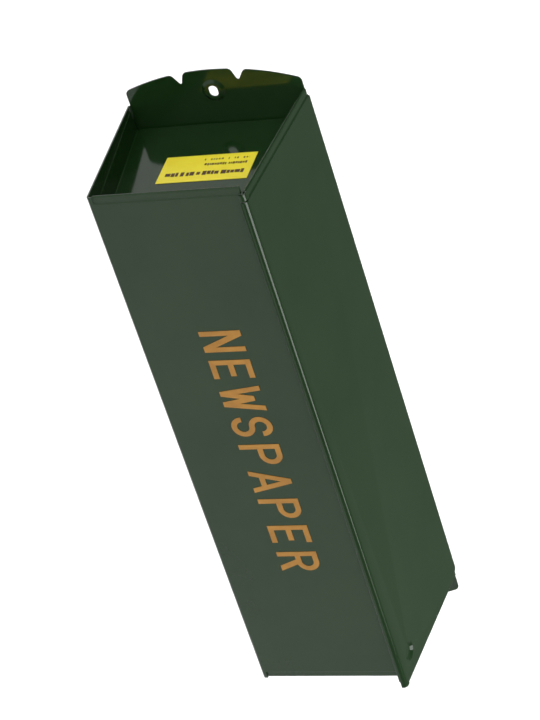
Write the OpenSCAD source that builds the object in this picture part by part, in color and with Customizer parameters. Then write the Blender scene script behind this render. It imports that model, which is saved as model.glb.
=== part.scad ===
// Wall-hung delivery box for rolled newspapers, folded from painted sheet steel.
// X runs from the closed end to the open mouth, Y from the front panel to the wall, Z is up.
// The origin lies midway between the two screw slots, on the rear face of their bosses.

/* [Body] */
// Length of the front panel
body_len = 457; // [360:1:560]
// Height of the front panel
front_h = 114; // [95:1:140]
// Height of the box at the wall
back_h = 137; // [115:1:165]
// Depth from the front face to the rear face of the back plate
depth = 124; // [100:1:150]
// Thickness of every steel sheet
sheet = 1.2; // [0.8:0.1:1.6]
// Inside radius of the folds
bend_r = 1; // [0.6:0.1:2]
// Inside radius of the wider fold between roof and front
edge_r = 2.2; // [1.4:0.1:2.4]

/* [Ends] */
// How far the floor's closed end is set back at the wall, compared with the front panel
floor_rake = 10; // [0:0.5:14]
// How far the roof's closed end is set back from the front panel's
roof_set = 5.5; // [0:0.5:8]
// How far the roof stands out over the front panel at the mouth, as a drip edge
drip = 11; // [4:0.5:16]
// Width of the stepped band along the rims
rim_band = 6.2; // [5:0.1:9]
// Depth of the step
rim_step = 1; // [0.4:0.1:1.4]

/* [Seams] */
// Lip of the roof that is folded over the front panel
front_lip = 5; // [4:0.5:10]
// Flange of the front panel under the roof
under_flange = 8; // [5:0.5:12]
// Flanges of roof and floor behind the back plate
back_flange = 13; // [8:0.5:20]
// Gap between lapped sheets, for the paint
seam = 0.1; // [0.05:0.05:0.3]

/* [Back plate] */
// How far the foot of one tab is set back from the front panel's closed end
tab_set = 9.5; // [6:0.5:12]
// How far the foot of the other tab stands out past the roof
tab_out = 2.5; // [1:0.5:6]
// How far the back plate's long edges stay clear of the folds above and below
plate_ease = 0.1; // [0:0.05:1]
// How far the tabs stand out past their feet, at the middle
tab_rise = 24.7; // [18:0.1:34]
// Radius of the tabs' curved ends
tab_r = 180; // [150:1:260]
// Radius of the tabs' corners
tab_corner_r = 4; // [2:0.5:8]
// Distance from a tab's foot to the middle of its screw slot
slot_out = 7.65; // [6:0.05:10]
// Width of a screw slot
slot_w = 6.8; // [5:0.1:8]
// Length of a screw slot
slot_len = 9; // [8.1:0.1:12]
// Diameter of the boss round a slot
boss_d = 18.5; // [18:0.5:24]
// Height of the boss, which is raised towards the front
boss_h = 1.2; // [0.8:0.1:2]
// Half the distance between a tab's two strap notches
notch_z = 22.6; // [18:0.1:30]
// How far the middle of the two notches lies below the slot
notch_low = 1.5; // [0:0.1:3]
// Depth of a strap notch
notch_depth = 8.5; // [5:0.5:11]
// Half the angle between a notch's flanks
notch_open = 26; // [15:1:35]
// Radius of a notch's root
notch_r = 1.3; // [1:0.1:2]
// Radius of the rounded corners at a notch's mouth
notch_lip_r = 4; // [2:0.5:6]

/* [Closed end] */
// Distance from the front panel's edge to the end tray's plate
tray_set = 28.2; // [24:0.1:45]
// How far the tray's flanges stop short of the floor's end
tray_short = 1.9; // [1:0.1:6]
// Width of the tray's flange on the back plate
tray_foot = 12; // [8:0.5:16]
// Width of the label on the tray
label_w = 68; // [40:1:75]
// Height of the label
label_h = 30.5; // [20:0.5:40]
// Distance from the wall side of the tray to the label
label_set = 41; // [30:1:50]
// Sideways offset of the label
label_z = 3.4; // [-10:0.1:10]

/* [Mouth] */
// Distance from the roof's mouth edge to the dimple in the roof
dimple_set = 21; // [18:0.5:30]
// Distance from the front panel to the dimple
dimple_in = 18; // [16.5:0.5:30]
// Diameter of the dimple
dimple_d = 15; // [13:0.5:16]
// Depth of the dimple
dimple_h = 1.8; // [1:0.1:2]

/* [Legend] */
// Height of the letters
letter_h = 31; // [20:1:45]
// Width of a letter
letter_w = 18.5; // [12:0.5:22]
// Distance from letter to letter
letter_pitch = 26; // [24:0.5:32]
// Width of a stroke
stroke = 4.2; // [2.5:0.1:5.5]
// Distance from the front panel's closed end to the legend
legend_set = 119; // [90:1:140]
// Height of the legend's middle above the front panel's middle
legend_z = 5; // [-12:0.5:12]

/* [Hidden] */
$fn = 64;
ink = 0.2;
paper = 0.25;
GREEN = [0.07, 0.17, 0.1];
YELLOW = [0.93, 0.85, 0.2];
GOLD = [0.72, 0.5, 0.16];

// The rear flanges end this far from the tabs
flange_end = 12;
// Longer than any cut needs
far_x = 120;
// Flat strips that make up one fold
fold_steps = 6;
// Flat ring round a dish that merges with the sheet
dish_ring = 0.6;
// Width of a dish's slanting wall
dish_wall = 2.5;
// How far the thick side of a dish's wall is set in
dish_lap = 0.4;
// How far a hem runs past the flat of its band
hem_lap = 0.8;
// Clearance at the ends of the tray's flanges
relief = 3.5;

// Planes and edges that several sheets share
plate_rear = boss_h;
plate_front = plate_rear - sheet;
face = plate_rear - depth;
slope = (back_h - front_h) / 2 / depth;
lean = atan(slope);
plate_len = body_len - tab_set + drip + tab_out;
slot_pitch = plate_len + 2 * slot_out;
closed_x = -plate_len / 2 - tab_set;
mouth_x = closed_x + body_len;
roof_closed_x = closed_x + roof_set;
roof_mouth_x = mouth_x + drip;
tray_x = closed_x + tray_set;
fold_r = bend_r + sheet / 2;
edge_fold_r = edge_r + sheet / 2;
// The tray's flanges also stop short of the roof's hem
tray_flange = tray_set - max(floor_rake + tray_short, roof_set + rim_band + 2 * seam);

// The flange under the roof stops short of the dimple
under_cut = dimple_set - drip + dimple_d / 2 + 4;

// Half height of the box's outer faces at depth y
function wall_z(y) = front_h / 2 + slope * (y - face);
plate_h = 2 * (wall_z(plate_rear) - sheet / cos(lean) - bend_r - plate_ease);
// The front panel's flat part ends where the roof's fold begins
front_top = wall_z(face) - sheet - edge_r - seam;

// ---- folded sheets ----

function unit(v) = v / norm(v);
function left_of(v) = [-v[1], v[0]];
function turn(a, b) = atan2(a[0] * b[1] - a[1] * b[0], a[0] * b[0] + a[1] * b[1]);

// One side of a folded sheet whose middle runs along p, at distance off to the left, with the middle's fold radii
function fold_side(p, off, radii) = let (
    last = len(p) - 1,
    dirs = [for (i = [0 : last - 1]) unit(p[i + 1] - p[i])]
) concat(
    [p[0] + off * left_of(dirs[0])],
    [for (i = [1 : last - 1]) let (
        a = turn(dirs[i - 1], dirs[i]),
        r = radii[min(i, len(radii)) - 1],
        out = -sign(a) * left_of(dirs[i - 1]),
        centre = p[i] - r * tan(abs(a) / 2) * dirs[i - 1] - r * out,
        reach = r - sign(a) * off,
        start = atan2(out[1], out[0])
    ) each [for (k = [0 : fold_steps]) centre + reach * [cos(start + a * k / fold_steps), sin(start + a * k / fold_steps)]]],
    [p[last] + off * left_of(dirs[last - 1])]
);

// Cross-section of a folded sheet; the last of the radii serves all further folds
module folded(p, radii = [fold_r]) {
    right = fold_side(p, -sheet / 2, radii);
    left = fold_side(p, sheet / 2, radii);
    polygon(concat(right, [for (i = [len(left) - 1 : -1 : 0]) left[i]]));
}

// Extrudes a YZ cross-section from x0 to x1
module along_x(x0, x1) {
    translate([x0, 0, 0]) rotate([90, 0, 90]) linear_extrude(x1 - x0) children();
}

// Edge of a panel seen from its side: the band steps in by rim_step and is hemmed on the inside.
// The rim is at 0, the sheet goes on to run, and its outer face is at 0.
module rim_profile(run) {
    ramp = rim_step;
    flat_end = rim_band - ramp;
    translate([sheet, rim_step]) square([flat_end - sheet, sheet]);
    polygon([[flat_end, rim_step], [rim_band, 0], [rim_band, sheet], [flat_end, rim_step + sheet]]);
    translate([rim_band, 0]) square([run - rim_band, sheet]);
    translate([sheet, rim_step + sheet]) circle(sheet);
    translate([sheet, rim_step + sheet]) square([flat_end + hem_lap - sheet, sheet]);
}

// ---- front panel and floor: one sheet ----

front_mid = face + sheet / 2;
rear_mid = plate_rear + seam + sheet / 2;
lap_r = 2 * fold_r;

// Middle of a sheet that lies against the underside of the roof at depth y
function roof_under(y) = wall_z(y) - (1.5 * sheet + seam) / cos(lean);
function floor_mid(y) = -wall_z(y) + sheet / 2 / cos(lean);

module floor_section() {
    folded([
        [front_mid, floor_mid(front_mid) + lap_r], [front_mid, floor_mid(front_mid)],
        [rear_mid, floor_mid(rear_mid)], [rear_mid, floor_mid(rear_mid) + back_flange]
    ]);
}

module under_section() {
    tip_y = front_mid + under_flange;
    folded([
        [tip_y, roof_under(tip_y)], [front_mid, roof_under(front_mid)],
        [front_mid, roof_under(front_mid) - front_lip]
    ]);
}

// Removes what lies beyond the floor's raked ends
module floor_ends() {
    far = 2 * depth;
    for (end = [[closed_x, floor_rake / depth, -1], [mouth_x, drip / depth, 1]])
        translate([0, 0, -back_h]) linear_extrude(2 * back_h) polygon([
            [end[0] - end[1] * far, face - far], [end[0] + end[1] * far, face + far],
            [end[0] + end[2] * far, face + far], [end[0] + end[2] * far, face - far]
        ]);
}

module front_rims() {
    z0 = floor_mid(front_mid) + lap_r;
    for (end = [0, 1])
        translate([end == 0 ? closed_x : mouth_x, face, z0])
            mirror([end, 0, 0])
                linear_extrude(front_top - z0) rim_profile(rim_band + 2);
}

// Cuts the rear flanges back to the back plate's own length; side is 1 for the roof, -1 for the floor
module flange_ends(side) {
    for (end = [-1, 1])
        translate([end * (plate_len / 2 - flange_end + far_x / 2), plate_rear + far_x / 2, side * back_h / 2])
            cube([far_x, far_x, 2 * back_flange + 4 * fold_r], center = true);
}

module front_and_floor_panel() {
    inset = rim_band + 1;
    z0 = floor_mid(front_mid) + lap_r - 0.5;
    color(GREEN) union() {
        difference() {
            along_x(closed_x - 1, mouth_x + drip + 1) floor_section();
            floor_ends();
            flange_ends(-1);
        }
        along_x(tray_x + 2 * sheet, mouth_x - under_cut) under_section();
        along_x(closed_x + inset, mouth_x - inset)
            translate([face, z0]) square([sheet, front_top - z0]);
        front_rims();
    }
}

// ---- roof ----

module roof_section() {
    y0 = face - seam - sheet / 2;
    y1 = plate_rear + seam + sheet / 2;
    z_mid = [for (y = [y0, y1]) wall_z(y) - sheet / 2 / cos(lean)];
    folded([
        [y0, z_mid[0] - front_lip + sheet / 2], [y0, z_mid[0]],
        [y1, z_mid[1]], [y1, z_mid[1] - back_flange]
    ], [edge_fold_r, fold_r]);
}

// Carries a shape from the roof's own plane, where the panel's outer face is at 0, to its place
module on_roof() {
    translate([0, face, wall_z(face)]) rotate([lean, 0, 0]) children();
}

module roof_rims() {
    hem = rim_step + 2 * sheet;
    y0 = hem + 2 * seam;
    y1 = (plate_front - seam - face - hem * sin(lean)) / cos(lean);
    for (end = [0, 1])
        translate([end == 0 ? roof_closed_x : roof_mouth_x, 0, 0])
            mirror([end, 0, 0])
                on_roof() translate([0, y0, 0]) rotate([-90, 0, 0]) linear_extrude(y1 - y0) rim_profile(rim_band + 2);
}

// Dish pressed down into a sheet whose top face is at 0
module dish(d, h) {
    foot = d / 2 - dish_wall;
    rotate_extrude() polygon([
        [0, -h], [foot, -h], [d / 2, 0], [d / 2 + dish_ring, 0],
        [d / 2 + dish_ring, -sheet], [d / 2 - dish_lap, -sheet], [foot - dish_lap, -h - sheet], [0, -h - sheet]
    ]);
}

module roof_panel() {
    inset = rim_band + 1;
    dimple_at = [roof_mouth_x - dimple_set, dimple_in / cos(lean), 0];
    color(GREEN) union() {
        difference() {
            union() {
                along_x(roof_closed_x + inset, roof_mouth_x - inset) roof_section();
                roof_rims();
                along_x(roof_closed_x, roof_closed_x + rim_band - rim_step) roof_front_fold();
                along_x(roof_closed_x + rim_band, roof_mouth_x - sheet) roof_front_fold();
            }
            on_roof() translate(dimple_at) cylinder(h = 4 * sheet, d = dimple_d + dish_ring, center = true);
            flange_ends(1);
        }
        on_roof() translate(dimple_at) dish(dimple_d, dimple_h);
    }
}

// The fold between roof and lip, carried out to the rims
module roof_front_fold() {
    y0 = face - seam - sheet / 2;
    z0 = wall_z(y0) - sheet / 2 / cos(lean);
    y1 = y0 + edge_fold_r + 2;
    folded([[y0, z0 - edge_fold_r - 1], [y0, z0], [y1, z0 + slope * (y1 - y0)]], [edge_fold_r]);
}

// ---- back plate ----

// Points of an arc, from angle a0 to angle a1
function arc_points(c, r, a0, a1, steps) = [for (k = [0 : steps]) let (a = a0 + (a1 - a0) * k / steps) c + r * [cos(a), sin(a)]];

// The same arc without its two ends
function arc_inside(c, r, a0, a1, steps) = arc_points(c, r, a0 + (a1 - a0) / steps, a1 - (a1 - a0) / steps, steps - 2);

// Turns a point round the origin
function turned(p, a) = [p[0] * cos(a) - p[1] * sin(a), p[0] * sin(a) + p[1] * cos(a)];

// The tab's curved end is an arc about this point
tab_c = [plate_len / 2 + tab_rise - tab_r, 0];

// Middle of the rounded corner at the upper side of a notch's mouth, for a notch that points along +X from tab_c
function notch_lip() = let (
    across = [-sin(notch_open), cos(notch_open)],
    along = [cos(notch_open), sin(notch_open)],
    start = [tab_r + notch_r - notch_depth, 0] + (notch_r + notch_lip_r) * across,
    reach = tab_r - notch_lip_r
) start + (sqrt(pow(start * along, 2) - start * start + reach * reach) - start * along) * along;

notch_half = atan2(notch_lip()[1], notch_lip()[0]);
function notch_at(z) = asin(z / tab_r);

// One notch, from its lower corner to its upper one: a V with its root and both corners rounded
function notch_points(z) = let (lip = notch_lip()) [
    for (p = concat(
        arc_points([lip[0], -lip[1]], notch_lip_r, -notch_half, 90 - notch_open, fold_steps),
        arc_points([tab_r + notch_r - notch_depth, 0], notch_r, 270 - notch_open, 90 + notch_open, fold_steps),
        arc_points(lip, notch_lip_r, notch_open - 90, notch_half, fold_steps)
    )) tab_c + turned(p, notch_at(z))
];

// Outline of the tab at the mouth's end, from its lower corner to its upper one
function tab_points() = let (
    fz = plate_h / 2 - tab_corner_r,
    fx = tab_c[0] + sqrt(pow(tab_r - tab_corner_r, 2) - pow(fz, 2)),
    edge = atan2(fz, fx - tab_c[0]),
    low = -notch_z - notch_low,
    high = notch_z - notch_low
) concat(
    arc_points([fx, -fz], tab_corner_r, -90, -edge, fold_steps),
    arc_inside(tab_c, tab_r, -edge, notch_at(low) - notch_half, 2 * fold_steps),
    notch_points(low),
    arc_inside(tab_c, tab_r, notch_at(low) + notch_half, notch_at(high) - notch_half, 2 * fold_steps),
    notch_points(high),
    arc_inside(tab_c, tab_r, notch_at(high) + notch_half, edge, 2 * fold_steps),
    arc_points([fx, fz], tab_corner_r, edge, 90, fold_steps)
);

module back_plate_outline() {
    tab = tab_points();
    polygon(concat(tab, [for (i = [len(tab) - 1 : -1 : 0]) [-tab[i][0], tab[i][1]]]));
}

module back_plate() {
    color(GREEN) difference() {
        union() {
            difference() {
                translate([0, plate_rear, 0]) rotate([90, 0, 0]) linear_extrude(sheet) back_plate_outline();
                for (end = [-1, 1])
                    translate([end * slot_pitch / 2, plate_rear, 0])
                        rotate([90, 0, 0]) cylinder(h = 6 * sheet, d = boss_d + dish_ring, center = true);
            }
            for (end = [-1, 1])
                translate([end * slot_pitch / 2, plate_rear, 0])
                    rotate([-90, 0, 0]) dish(boss_d, boss_h);
        }
        for (end = [-1, 1]) translate([end * slot_pitch / 2, 0, 0]) slot();
    }
}

module slot() {
    span = slot_len - slot_w;
    for (s = [-1, 1])
        translate([s * span / 2, 0, 0]) rotate([90, 0, 0]) cylinder(h = far_x, d = slot_w, center = true);
    cube([span, far_x, slot_w], center = true);
}

// ---- end tray ----

// One edge of the tray, run long: the flange stands out towards -X and the plate goes on towards +Y
module tray_side(run, stand) {
    linear_extrude(run) folded([[-stand, 0], [sheet / 2, 0], [sheet / 2, 5 * fold_r]]);
}

module end_tray() {
    gap = sheet + seam;
    y0 = face + gap;
    y1 = plate_front - seam;
    side_gap = gap / cos(lean);
    inner = 2.2 * fold_r;
    color(GREEN) union() {
        // plate
        translate([tray_x, 0, 0]) rotate([90, 0, 90]) linear_extrude(sheet) polygon([
            [y0 + inner, -wall_z(y0) + side_gap + inner], [y1 - inner, -wall_z(y1) + side_gap + inner],
            [y1 - inner, wall_z(y1) - side_gap - inner], [y0 + inner, wall_z(y0) - side_gap - inner]
        ]);
        // flange along the front panel
        translate([tray_x, y0 + sheet / 2, -wall_z(y0) + side_gap + relief])
            tray_side(2 * (wall_z(y0) - side_gap - relief), tray_flange);
        // flanges along the floor and the roof
        for (s = [0, 1]) mirror([0, 0, s])
            translate([tray_x, y0 + relief, -wall_z(y0 + relief) + side_gap + sheet / 2 / cos(lean)])
                rotate([-lean, 0, 0]) rotate([-90, 0, 0]) mirror([0, 1, 0])
                    tray_side((y1 - y0 - 2 * relief) / cos(lean), tray_flange);
        // flange along the back plate, turned into the box
        translate([tray_x + sheet, y1 - sheet / 2, -wall_z(y1) + side_gap + relief])
            mirror([1, 0, 0]) mirror([0, 1, 0])
                tray_side(2 * (wall_z(y1) - side_gap - relief), tray_foot);
    }
}

// ---- printed pieces ----

module end_label() {
    color(YELLOW)
        translate([tray_x - seam - paper, plate_front - label_set - label_h, label_z - label_w / 2])
            cube([paper, label_h, label_w]);
}

// Straight stroke of a letter from a to b
module bar(a, b) {
    d = unit(b - a);
    translate(a) rotate(atan2(d[1], d[0])) translate([0, -stroke / 2]) square([norm(b - a), stroke]);
}

// Part of a ring: the quarters to draw count from 0, right of the top, anticlockwise
module arc(c, r, quarters) {
    intersection() {
        translate(c) difference() {
            circle(r + stroke / 2);
            circle(r - stroke / 2);
        }
        translate(c) for (q = quarters) rotate(90 * q) square(2 * r);
    }
}

module letter(name) {
    s = stroke / 2;
    h = letter_h;
    w = letter_w;
    r = (h - stroke) / 4;
    if (name == "N") {
        bar([s, 0], [s, h]);
        bar([w - s, 0], [w - s, h]);
        polygon([[0, h], [stroke * 1.15, h], [w, 0], [w - stroke * 1.15, 0]]);
    }
    if (name == "E") {
        bar([s, 0], [s, h]);
        for (y = [s, h / 2, h - s]) bar([0, y], [y == h / 2 ? w - 4 : w - 2, y]);
    }
    if (name == "W") {
        for (m = [0, 1]) translate([m * w, 0]) mirror([m, 0]) {
            polygon([[-2, h], [stroke - 2, h], [w * 0.24 + s, 0], [w * 0.24 - s, 0]]);
            polygon([[w * 0.24 - s, 0], [w * 0.24 + s, 0], [w / 2 + s, h * 0.8], [w / 2 - s, h * 0.8]]);
        }
    }
    if (name == "S") {
        cx = w / 2;
        arc([cx, h - s - r], r, [0, 1, 2]);
        arc([cx, s + r], r, [2, 3, 0]);
    }
    if (name == "P" || name == "R") {
        bar([s, 0], [s, h]);
        for (y = [h - s, h - s - 2 * r]) bar([0, y], [w - s - r, y]);
        arc([w - s - r, h - s - r], r, [0, 3]);
    }
    if (name == "R")
        polygon([[w * 0.36, h / 2], [w * 0.36 + stroke * 1.2, h / 2], [w, 0], [w - stroke * 1.2, 0]]);
    if (name == "A") {
        for (m = [0, 1]) translate([m * w, 0]) mirror([m, 0])
            polygon([[-1, 0], [stroke - 1, 0], [w / 2 + s, h], [w / 2 - s, h]]);
        bar([w * 0.2, h * 0.3], [w * 0.8, h * 0.3]);
    }
}

module legend() {
    word = "NEWSPAPER";
    color(GOLD)
        translate([closed_x + legend_set, face - seam, legend_z - letter_h / 2])
            rotate([90, 0, 0])
                for (i = [0 : len(word) - 1])
                    translate([i * letter_pitch, 0, 0]) linear_extrude(ink) letter(word[i]);
}

front_and_floor_panel();
roof_panel();
back_plate();
end_tray();
end_label();
legend();
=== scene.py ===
import math
import random

import bmesh
import bpy
from mathutils import Matrix, Vector


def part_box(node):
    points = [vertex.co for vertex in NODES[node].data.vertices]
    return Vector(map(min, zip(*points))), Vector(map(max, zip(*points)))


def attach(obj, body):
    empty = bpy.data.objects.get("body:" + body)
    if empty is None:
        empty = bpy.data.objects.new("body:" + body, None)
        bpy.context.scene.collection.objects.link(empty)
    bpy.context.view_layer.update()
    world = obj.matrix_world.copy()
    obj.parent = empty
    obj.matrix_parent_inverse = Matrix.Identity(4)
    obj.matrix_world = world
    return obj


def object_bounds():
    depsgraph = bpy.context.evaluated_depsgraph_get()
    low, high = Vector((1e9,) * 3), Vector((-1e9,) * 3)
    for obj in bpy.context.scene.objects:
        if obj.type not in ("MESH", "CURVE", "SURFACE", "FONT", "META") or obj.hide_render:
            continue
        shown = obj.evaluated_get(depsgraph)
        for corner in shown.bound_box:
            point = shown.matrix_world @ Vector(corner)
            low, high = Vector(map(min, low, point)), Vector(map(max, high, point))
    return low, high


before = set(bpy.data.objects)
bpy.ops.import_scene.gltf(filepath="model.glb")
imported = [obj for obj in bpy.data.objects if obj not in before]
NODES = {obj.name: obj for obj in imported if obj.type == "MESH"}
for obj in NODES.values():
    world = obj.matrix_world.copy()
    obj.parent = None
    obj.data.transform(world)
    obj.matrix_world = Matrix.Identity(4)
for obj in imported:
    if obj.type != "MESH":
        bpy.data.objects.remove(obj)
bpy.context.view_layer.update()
SHEETS = ("front_and_floor_panel", "roof_panel", "back_plate", "end_tray")

# Lengths in metres
WELD = 0.00002
EDGE_EASE = 0.00018
PRINT_LIFT = 0.00004
FLOOR_DROP = 0.28
FLOOR_SIZE = 16.0

# Steeper edges than these are eased, or stay sharp in shading
EASED_ANGLE = math.radians(40)
SHARP_ANGLE = math.radians(24)

# Gap after a word of print, in ordinary gaps, and how often a word ends
WORD_GAP = 3.5
WORD_END = 0.16

MIDDLE = (0.0, -0.06, 0.0)


# ---- shader graphs ----


class Graph:
    """A material's node tree, with its Principled shader."""

    def __init__(self, name):
        self.material = bpy.data.materials.new(name)
        self.material.use_nodes = True
        self.tree = self.material.node_tree
        self.tree.nodes.clear()
        self.shader = self.add("ShaderNodeBsdfPrincipled")
        out = self.add("ShaderNodeOutputMaterial")
        self.link(self.shader.outputs["BSDF"], out.inputs["Surface"])

    def add(self, kind, **settings):
        node = self.tree.nodes.new(kind)
        for key, value in settings.items():
            setattr(node, key, value)
        return node

    def link(self, a, b):
        self.tree.links.new(a, b)

    def put(self, node, **values):
        """Sets or links a node's inputs by name, with _ for a space."""
        for key, value in values.items():
            socket = node.inputs[key.replace("_", " ")]
            if isinstance(value, bpy.types.NodeSocket):
                self.link(value, socket)
            else:
                socket.default_value = value
        return node

    def place(self):
        """A point's place in the part's frame."""
        return self.add("ShaderNodeTexCoord").outputs["Object"]

    def stretched(self, scale):
        node = self.add("ShaderNodeMapping")
        self.put(node, Vector=self.place(), Scale=scale)
        return node.outputs["Vector"]

    def noise(self, scale, detail=3.0, rough=0.5, vector=None):
        node = self.add("ShaderNodeTexNoise")
        self.put(node, Vector=vector or self.place(), Scale=scale, Detail=detail, Roughness=rough)
        return node.outputs["Fac"]

    def remap(self, value, low, high, to_low, to_high):
        node = self.add("ShaderNodeMapRange")
        self.put(node, Value=value, From_Min=low, From_Max=high, To_Min=to_low, To_Max=to_high)
        return node.outputs["Result"]

    def math(self, operation, a, b=0.0):
        node = self.add("ShaderNodeMath", operation=operation)
        for socket, value in zip(node.inputs, (a, b)):
            if isinstance(value, bpy.types.NodeSocket):
                self.link(value, socket)
            else:
                socket.default_value = value
        return node.outputs["Value"]

    def mix(self, share, a, b):
        node = self.add("ShaderNodeMix", data_type="RGBA")
        for index, value in ((0, share), (6, a), (7, b)):
            socket = node.inputs[index]
            if isinstance(value, bpy.types.NodeSocket):
                self.link(value, socket)
            else:
                socket.default_value = value if index == 0 else (*value, 1.0)
        return node.outputs[2]

    def bump(self, height, strength, distance, normal=None):
        node = self.add("ShaderNodeBump")
        self.put(node, Height=height, Strength=strength, Distance=distance)
        if normal is not None:
            self.link(normal, node.inputs["Normal"])
        return node.outputs["Normal"]

    def rounded(self, radius):
        """Normals of a sheet whose cut edges and folds are eased by radius."""
        node = self.add("ShaderNodeBevel", samples=6)
        node.inputs["Radius"].default_value = radius
        return node.outputs["Normal"]

    def edges(self, radius):
        """1 on edges, 0 on flat sheet."""
        eased = self.rounded(radius)
        flat = self.add("ShaderNodeNewGeometry").outputs["Normal"]
        dot = self.add("ShaderNodeVectorMath", operation="DOT_PRODUCT")
        self.link(eased, dot.inputs[0])
        self.link(flat, dot.inputs[1])
        return self.remap(dot.outputs["Value"], 0.995, 0.85, 0.0, 1.0)


def green_coat():
    """Dark green gloss powder coat: a little orange peel, thin dust, and a paler line on the edges that is a
    painted highlight.
    """
    g = Graph("green_coat")
    blotch = g.noise(9.0, 4.0, 0.6)
    base = g.mix(g.remap(blotch, 0.35, 0.65, 0.0, 1.0), (0.0080, 0.0285, 0.0068), (0.0105, 0.0340, 0.0086))
    fine = g.noise(1400.0, 2.0)
    base = g.mix(g.remap(fine, 0.6, 0.8, 0.0, 0.35), base, (0.016, 0.060, 0.020))
    # Paler colour on the folds and cut edges is a painted highlight; the same mask also roughens those
    # edges.
    edge_tint = g.math("MULTIPLY", g.edges(0.0006), g.remap(g.noise(160.0, 4.0, 0.7), 0.45, 0.75, 0.0, 0.6))
    color = g.mix(edge_tint, base, (0.060, 0.090, 0.060))
    dust = g.remap(g.noise(26.0, 6.0, 0.65), 0.45, 0.8, 0.0, 1.0)
    scuff = g.remap(g.noise(40.0, 5.0, 0.7, g.stretched((0.12, 1.0, 1.0))), 0.62, 0.72, 0.0, 1.0)
    rough = g.math("ADD", g.math("MULTIPLY", dust, 0.05), g.math("MULTIPLY", scuff, 0.05))
    rough = g.math("ADD", rough, g.math("MULTIPLY", edge_tint, 0.25))
    rough = g.math("ADD", rough, 0.085)
    peel = g.noise(420.0, 2.0, 0.4)
    waves = g.noise(60.0, 1.0, 0.4)
    normal = g.bump(peel, 0.10, 0.00010, g.rounded(0.0005))
    normal = g.bump(waves, 0.25, 0.00004, normal)
    g.put(g.shader, Base_Color=color, Roughness=rough, Normal=normal, IOR=1.42)
    return g.material


def label_film():
    """Bright yellow printed film with a thin gloss varnish."""
    g = Graph("yellow_film")
    cloud = g.noise(60.0, 4.0, 0.6)
    color = g.mix(g.remap(cloud, 0.3, 0.7, 0.0, 1.0), (0.93, 0.78, 0.030), (0.98, 0.86, 0.045))
    grain = g.noise(2600.0, 1.0)
    color = g.mix(g.remap(grain, 0.55, 0.75, 0.0, 0.12), color, (0.75, 0.60, 0.02))
    edge_tint = g.edges(0.0008)
    color = g.mix(g.math("MULTIPLY", edge_tint, 0.5), color, (0.80, 0.62, 0.10))
    rough = g.remap(g.noise(300.0, 3.0), 0.3, 0.7, 0.30, 0.42)
    normal = g.bump(g.noise(240.0, 2.0), 0.15, 0.00006)
    g.put(g.shader, Base_Color=color, Roughness=rough, Normal=normal, IOR=1.48)
    return g.material


def gold_ink():
    """Ochre-gold screen print, a little uneven in its cover."""
    g = Graph("gold_ink")
    cloud = g.noise(70.0, 5.0, 0.65)
    color = g.mix(g.remap(cloud, 0.3, 0.7, 0.0, 1.0), (0.35, 0.160, 0.022), (0.47, 0.225, 0.034))
    pores = g.remap(g.noise(1500.0, 2.0), 0.68, 0.8, 0.0, 0.5)
    color = g.mix(pores, color, (0.12, 0.08, 0.015))
    rough = g.remap(g.noise(500.0, 3.0), 0.3, 0.7, 0.38, 0.55)
    normal = g.bump(g.noise(900.0, 2.0), 0.25, 0.00005)
    g.put(g.shader, Base_Color=color, Roughness=rough, Normal=normal, IOR=1.5, Metallic=0.15)
    return g.material


def dark_ink():
    """Brown-black ink of the small print."""
    g = Graph("dark_ink")
    cloud = g.noise(900.0, 3.0)
    color = g.mix(g.remap(cloud, 0.35, 0.7, 0.0, 1.0), (0.060, 0.022, 0.012), (0.120, 0.060, 0.015))
    rough = g.remap(g.noise(700.0, 2.0), 0.3, 0.7, 0.35, 0.5)
    g.put(g.shader, Base_Color=color, Roughness=rough, IOR=1.48)
    return g.material


def floor_paper():
    """Matt, nearly white paper."""
    g = Graph("pale_floor")
    cloud = g.noise(1.2, 3.0)
    color = g.mix(g.remap(cloud, 0.3, 0.7, 0.0, 1.0), (0.83, 0.83, 0.83), (0.85, 0.85, 0.85))
    g.put(g.shader, Base_Color=color, Roughness=0.9, IOR=1.3)
    return g.material


# ---- the CAD nodes ----


def smooth_folds(obj):
    """Welds the model's facets, eases its edges and shades folds smooth, by modifiers only."""
    join = obj.modifiers.new("weld", "WELD")
    join.merge_threshold = WELD
    ease = obj.modifiers.new("ease", "BEVEL")
    ease.limit_method = "ANGLE"
    ease.angle_limit = EASED_ANGLE
    ease.width = EDGE_EASE
    ease.segments = 2
    ease.use_clamp_overlap = True
    tree = bpy.data.node_groups.get("smooth_by_angle") or smooth_tree()
    obj.modifiers.new("smooth", "NODES").node_group = tree
    even = obj.modifiers.new("even", "WEIGHTED_NORMAL")
    even.mode = "FACE_AREA"
    even.weight = 100
    even.keep_sharp = True


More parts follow.
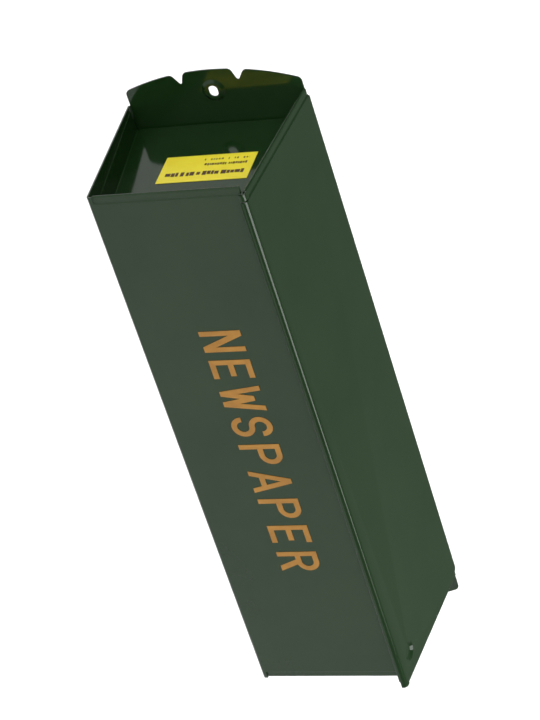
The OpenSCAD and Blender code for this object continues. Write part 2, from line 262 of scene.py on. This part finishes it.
def smooth_tree():
    """Shades all faces smooth, and keeps edges sharp that are steeper than SHARP_ANGLE."""
    tree = bpy.data.node_groups.new("smooth_by_angle", "GeometryNodeTree")
    tree.interface.new_socket("Geometry", in_out="INPUT", socket_type="NodeSocketGeometry")
    tree.interface.new_socket("Geometry", in_out="OUTPUT", socket_type="NodeSocketGeometry")
    given = tree.nodes.new("NodeGroupInput")
    made = tree.nodes.new("NodeGroupOutput")
    faces = tree.nodes.new("GeometryNodeSetShadeSmooth")
    faces.domain = "FACE"
    edges = tree.nodes.new("GeometryNodeSetShadeSmooth")
    edges.domain = "EDGE"
    bend = tree.nodes.new("GeometryNodeInputMeshEdgeAngle")
    sharp = tree.nodes.new("FunctionNodeCompare")
    sharp.data_type = "FLOAT"
    sharp.operation = "GREATER_THAN"
    sharp.inputs[1].default_value = SHARP_ANGLE
    tree.links.new(bend.outputs["Unsigned Angle"], sharp.inputs[0])
    tree.links.new(given.outputs[0], faces.inputs["Geometry"])
    tree.links.new(faces.outputs["Geometry"], edges.inputs["Geometry"])
    tree.links.new(sharp.outputs["Result"], edges.inputs["Selection"])
    edges.inputs["Shade Smooth"].default_value = False
    faces.inputs["Shade Smooth"].default_value = True
    tree.links.new(edges.outputs["Geometry"], made.inputs[0])
    return tree


def paint(obj, material):
    obj.data.materials.clear()
    obj.data.materials.append(material)


green = green_coat()
for name in SHEETS:
    paint(NODES[name], green)
    smooth_folds(NODES[name])
paint(NODES["end_label"], label_film())
paint(NODES["legend"], gold_ink())


# ---- print on the label: plain bars that stand for small lines of print, with no letters ----


def printed_rows():
    """For each row, its middle and height as shares of the label's height, and the start,
    stop, bar width and gap as shares of its width."""
    return [
        (0.82, 0.075, 0.44, 0.93, 0.018, 0.016),
        (0.63, 0.100, 0.46, 0.93, 0.026, 0.007),
        (0.30, 0.160, 0.07, 0.93, 0.056, 0.007),
    ]


def make_label_print():
    """Rows of small bars a hair above the label."""
    low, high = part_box("end_label")
    rng = random.Random(7)
    mesh = bmesh.new()
    x = low.x - PRINT_LIFT
    tall, wide = high.y - low.y, high.z - low.z

    def bar(y0, y1, z0, z1):
        corners = [(x, y0, z0), (x, y0, z1), (x, y1, z1), (x, y1, z0)]
        front = [mesh.verts.new(c) for c in corners]
        back = [mesh.verts.new((c[0] + PRINT_LIFT * 0.5, c[1], c[2])) for c in corners]
        mesh.faces.new(front)
        mesh.faces.new(back[::-1])
        for i in range(4):
            j = (i + 1) % 4
            mesh.faces.new((front[j], front[i], back[i], back[j]))

    for across, height, start, stop, width, gap in printed_rows():
        y = low.y + tall * across
        h = height * tall / 2
        at = start
        while at < stop:
            w = width * rng.uniform(0.5, 1.1)
            space = gap * (WORD_GAP if rng.random() < WORD_END else 1.0)
            foot = y - h + h * rng.uniform(0.0, 0.35)
            top = y + h - h * rng.uniform(0.0, 0.35)
            bar(foot, top, low.z + wide * at, low.z + wide * min(at + w, stop))
            at += w + space
    bmesh.ops.recalc_face_normals(mesh, faces=mesh.faces[:])
    data = bpy.data.meshes.new("label_print")
    mesh.to_mesh(data)
    mesh.free()
    obj = bpy.data.objects.new("label_print", data)
    bpy.context.scene.collection.objects.link(obj)
    paint(obj, dark_ink())
    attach(obj, "root")


make_label_print()


# ---- floor, lights, camera ----

def make_floor():
    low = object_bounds()[0]
    place = (0.0, 0.0, low.z - FLOOR_DROP)
    bpy.ops.mesh.primitive_grid_add(x_subdivisions=8, y_subdivisions=8, size=FLOOR_SIZE, location=place)
    floor = bpy.context.object
    floor.name = "floor"
    paint(floor, floor_paper())


def look(obj, at, aim, roll=0.0):
    """Puts a light or camera at a place and points it at aim."""
    obj.location = at
    obj.rotation_mode = "QUATERNION"
    turn = (Vector(aim) - Vector(at)).to_track_quat("-Z", "Y")
    obj.rotation_quaternion = turn @ Matrix.Rotation(roll, 4, "Z").to_quaternion()


def soft_light(name, at, aim, size, radiance, mirrored=True):
    """Square area light; one that isn't mirrored doesn't show in the gloss."""
    data = bpy.data.lights.new(name, "AREA")
    data.shape = "RECTANGLE"
    data.size, data.size_y = size, size
    data.energy = radiance * math.pi * size * size
    obj = bpy.data.objects.new(name, data)
    bpy.context.scene.collection.objects.link(obj)
    look(obj, at, aim)
    obj.visible_glossy = mirrored
    return obj


def make_world():
    world = bpy.data.worlds.new("studio")
    world.use_nodes = True
    tree = world.node_tree
    background = tree.nodes["Background"]
    background.inputs["Color"].default_value = (1.0, 1.0, 1.0, 1.0)
    background.inputs["Strength"].default_value = 0.24
    bpy.context.scene.world = world


def make_camera():
    data = bpy.data.cameras.new("camera")
    data.sensor_width = 36.0
    data.lens = 150.45
    data.clip_start, data.clip_end = 0.05, 60.0
    camera = bpy.data.objects.new("camera", data)
    bpy.context.scene.collection.objects.link(camera)
    at = (-1.30707, -1.63576, 0.79239)
    aim = (-0.000584, -0.007116, -0.022552)
    look(camera, at, aim, math.radians(87.519))
    bpy.context.scene.camera = camera


make_floor()
make_world()
make_camera()
soft_light("key", (0.85, -1.06, 2.0), MIDDLE, 1.5, 5.2)
soft_light("fill", (-2.4, -1.6, 1.2), MIDDLE, 1.6, 5.2)
backdrop = soft_light("backdrop", (1.1, 2.1, 1.9), (0.75, 0.95, -0.35), 2.4, 1.7, mirrored=False)
backdrop.data.spread = math.radians(80)

scene = bpy.context.scene
scene.view_settings.view_transform = "Standard"
scene.view_settings.look = "None"
scene.view_settings.exposure = 0.0
scene.view_settings.gamma = 1.0
